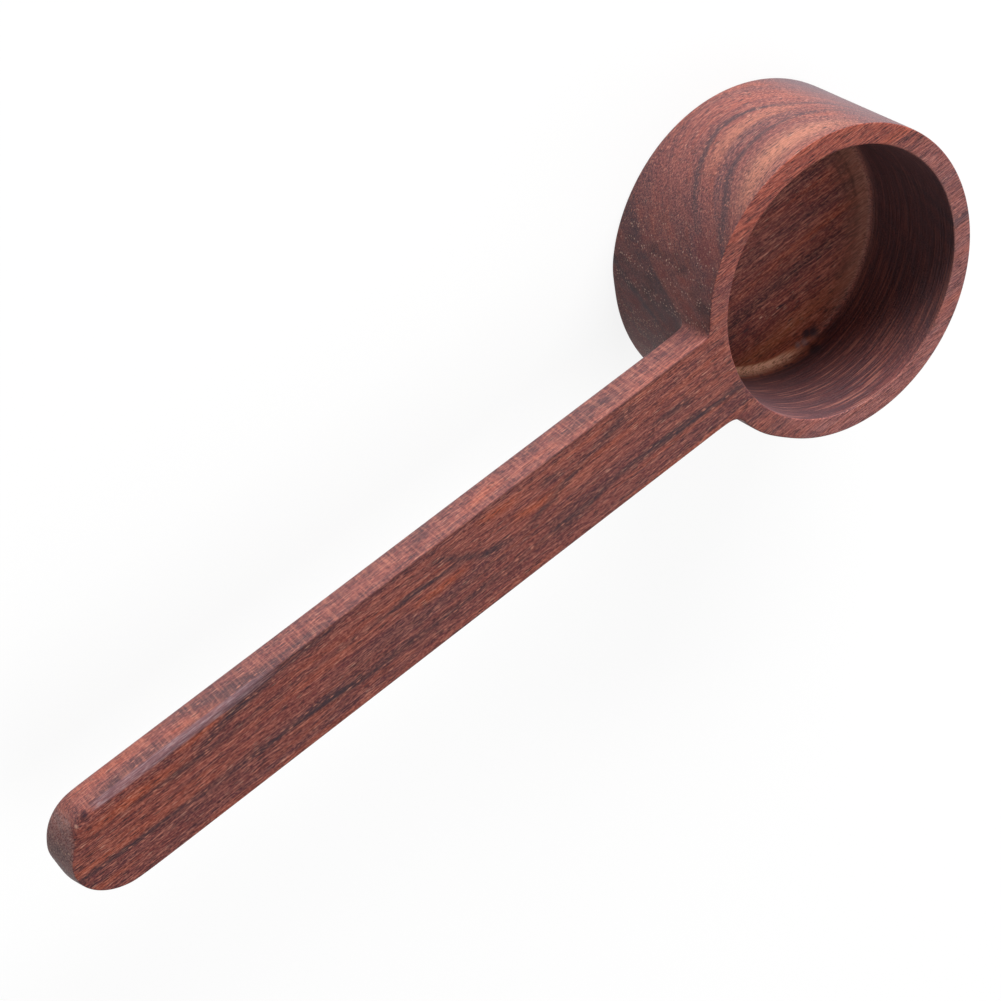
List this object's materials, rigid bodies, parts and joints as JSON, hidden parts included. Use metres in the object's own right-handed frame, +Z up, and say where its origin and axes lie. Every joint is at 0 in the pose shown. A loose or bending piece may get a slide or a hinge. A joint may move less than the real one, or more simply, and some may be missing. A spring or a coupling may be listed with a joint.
{
  "type": "measuring spoon",
  "caption": "Wooden measuring scoop in one piece: a short round cup with a flat, round-ended handle level with its rim, for ground coffee, tea or dry goods.",
  "frame": {"origin": "centre of the cup's flat base, on the cup's axis", "axes": "+Z up out of the cup's mouth, +X along the handle towards its tip, +Y to the left of someone looking along the handle from the cup"},
  "size_m": [0.1511, 0.0462, 0.022],
  "materials": {
    "walnut": "oiled walnut, sanded smooth, open pores, satin"
  },
  "bodies": {
    "root": {"spoon": "walnut"}
  },
  "joints": []
}
